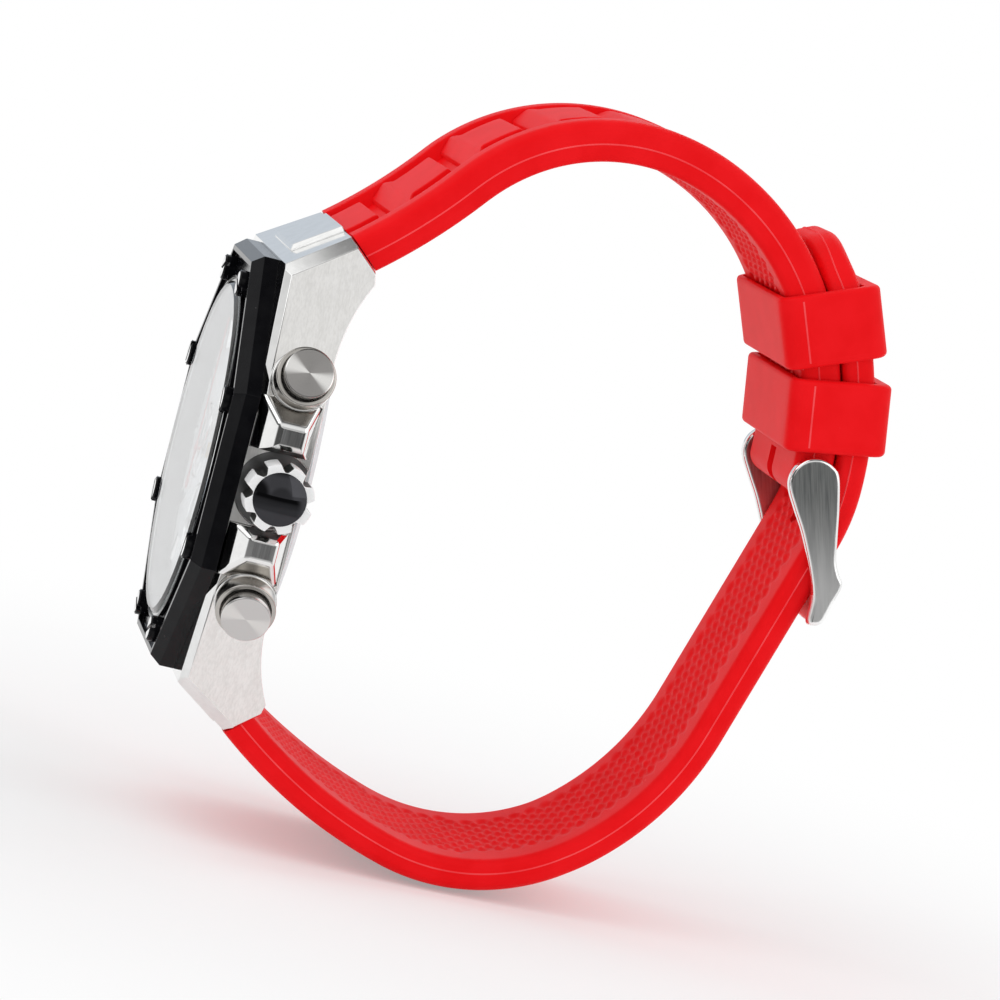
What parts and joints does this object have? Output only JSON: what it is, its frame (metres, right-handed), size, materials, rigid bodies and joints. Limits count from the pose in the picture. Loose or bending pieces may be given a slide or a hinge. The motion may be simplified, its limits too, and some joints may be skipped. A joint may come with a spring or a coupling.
{
  "type": "analog wristwatch",
  "caption": "Analog chronograph wristwatch with an octagonal screwed bezel, toothed crown, pushers and a closed silicone strap with a pin buckle.",
  "frame": {"origin": "centre of the case back's outer face", "axes": "-Y out of the dial, +X towards the crown at three o'clock, +Z towards twelve o'clock; the strap loop extends to +Y"},
  "size_m": [0.0484, 0.07, 0.082],
  "materials": {
    "case_steel": "satin brushed steel with polished chamfers",
    "bezel_black": "gloss black ceramic",
    "screw_steel": "polished steel screw",
    "crystal": "clear mineral glass",
    "seal_black": "black seal rubber",
    "ring_nylon": "white nylon ring",
    "dial_paint": "pale satin dial",
    "rehaut_dark": "dark inner ring",
    "marker_metal": "polished applied metal",
    "hand_metal": "polished hands",
    "hand_red": "red lacquered hand",
    "crown_steel": "polished steel",
    "cap_black": "gloss black domed cap",
    "pusher_steel": "turned and brushed steel",
    "spring_steel": "spring steel wire",
    "movement_plate": "nickel plated brass",
    "movement_plastic": "moulded movement holder",
    "board_green": "coated circuit board",
    "battery_steel": "nickel plated cell",
    "copper_wire": "enamelled copper winding",
    "gear_brass": "cut brass wheel",
    "rotor_dark": "magnet rotor",
    "strap_red": "red satin silicone",
    "buckle_steel": "brushed steel with polished edges"
  },
  "bodies": {
    "case": {"case_middle": "case_steel", "bezel": "bezel_black", "bezel_screws": "screw_steel", "crystal": "crystal", "crystal_gasket": "ring_nylon", "rehaut": "rehaut_dark", "dial": "dial_paint", "small_dial_rings": "marker_metal", "hour_markers": "marker_metal", "case_back": "case_steel", "case_back_gasket": "seal_black", "case_back_screws": "screw_steel", "crown_tube": "crown_steel", "pusher_tube_top": "pusher_steel", "pusher_tube_bottom": "pusher_steel", "pusher_spring_top": "spring_steel", "pusher_spring_bottom": "spring_steel", "movement_holder": "movement_plastic", "main_plate": "movement_plate", "train_bridge": "movement_plate", "circuit_board": "board_green", "battery": "battery_steel", "battery_clamp": "gear_brass", "motor_coil": "copper_wire", "quartz_can": "battery_steel", "motor_stator": "spring_steel", "strap_upper": "strap_red", "strap_lower": "strap_red", "lug_bar_upper": "spring_steel", "lug_bar_lower": "spring_steel", "buckle_bar": "spring_steel"},
    "crown_slide": {"crown_gasket": "seal_black"},
    "crown": {"crown": "crown_steel", "crown_cap": "cap_black", "winding_stem": "spring_steel", "clutch_wheel": "gear_brass"},
    "pusher_top": {"pusher_top": "pusher_steel", "pusher_clip_top": "spring_steel"},
    "pusher_bottom": {"pusher_bottom": "pusher_steel", "pusher_clip_bottom": "spring_steel"},
    "minute": {"minute_hand": "hand_metal", "cannon_pinion": "spring_steel"},
    "hour": {"hour_hand": "hand_metal", "hour_wheel": "gear_brass"},
    "motion": {"motion_wheel": "gear_brass"},
    "day_hour": {"day_hour_hand": "hand_metal"},
    "small_seconds": {"small_seconds_hand": "hand_metal"},
    "chrono_seconds": {"seconds_hand": "hand_red"},
    "chrono_counter": {"counter_hand": "hand_metal"},
    "rotor": {"motor_rotor": "rotor_dark"},
    "buckle": {"buckle_frame": "buckle_steel"},
    "tongue": {"buckle_tongue": "buckle_steel"},
    "keeper_upper": {"keeper_upper": "strap_red"},
    "keeper_lower": {"keeper_lower": "strap_red"}
  },
  "joints": [
    {"name": "crown_pull", "type": "slide", "parent": "case", "child": "crown_slide", "axis": [1, 0, 0], "range_m": [0, 0.001]},
    {"name": "crown_turn", "type": "hinge", "parent": "crown_slide", "child": "crown", "pos_m": [0.021, -0.0039, 0], "axis": [1, 0, 0], "continuous": true},
    {"name": "pusher_top_press", "type": "slide", "parent": "case", "child": "pusher_top", "axis": [-0.9397, 0, -0.342], "range_m": [0, 0.0011], "stiffness_N_per_m": 800, "springref_m": -0.001},
    {"name": "pusher_bottom_press", "type": "slide", "parent": "case", "child": "pusher_bottom", "axis": [-0.9397, 0, 0.342], "range_m": [0, 0.0011], "stiffness_N_per_m": 800, "springref_m": -0.001},
    {"name": "minute_turn", "type": "hinge", "parent": "case", "child": "minute", "pos_m": [0, -0.008, 0], "axis": [0, 1, 0], "continuous": true},
    {"name": "hour_turn", "type": "hinge", "parent": "case", "child": "hour", "pos_m": [0, -0.008, 0], "axis": [0, 1, 0], "continuous": true},
    {"name": "motion_turn", "type": "hinge", "parent": "case", "child": "motion", "pos_m": [0, -0.006, 0.003], "axis": [0, 1, 0], "continuous": true},
    {"name": "day_hour_turn", "type": "hinge", "parent": "case", "child": "day_hour", "pos_m": [0.0076, -0.007, 0], "axis": [0, 1, 0], "continuous": true},
    {"name": "small_seconds_turn", "type": "hinge", "parent": "case", "child": "small_seconds", "pos_m": [0, -0.007, -0.0076], "axis": [0, 1, 0], "continuous": true},
    {"name": "chrono_seconds_turn", "type": "hinge", "parent": "case", "child": "chrono_seconds", "pos_m": [0, -0.008, 0], "axis": [0, 1, 0], "continuous": true},
    {"name": "chrono_counter_turn", "type": "hinge", "parent": "case", "child": "chrono_counter", "pos_m": [-0.0076, -0.007, 0], "axis": [0, 1, 0], "continuous": true},
    {"name": "rotor_turn", "type": "hinge", "parent": "case", "child": "rotor", "pos_m": [0.0084, -0.0045, -0.0056], "axis": [0, 1, 0], "continuous": true},
    {"name": "buckle_hinge", "type": "hinge", "parent": "case", "child": "buckle", "pos_m": [0, 0.05197, 0.01284], "axis": [1, 0, 0], "range_deg": [0, 6]},
    {"name": "tongue_hinge", "type": "hinge", "parent": "buckle", "child": "tongue", "pos_m": [0, 0.05197, 0.01284], "axis": [1, 0, 0], "range_deg": [0, 5]},
    {"name": "keeper_upper_slide", "type": "hinge", "parent": "case", "child": "keeper_upper", "pos_m": [0, 0.01578, 0.01247], "axis": [1, 0, 0], "range_deg": [0, 4]},
    {"name": "keeper_lower_slide", "type": "hinge", "parent": "case", "child": "keeper_lower", "pos_m": [0, 0.01578, 0.01247], "axis": [1, 0, 0], "range_deg": [0, 0.6]}
  ],
  "couplings": [
    {"joint": "hour_turn", "follows": "minute_turn", "ratio": 0.083333},
    {"joint": "motion_turn", "follows": "minute_turn", "ratio": -0.33333},
    {"joint": "day_hour_turn", "follows": "minute_turn", "ratio": 0.041667},
    {"joint": "chrono_counter_turn", "follows": "chrono_seconds_turn", "ratio": 0.016667}
  ]
}
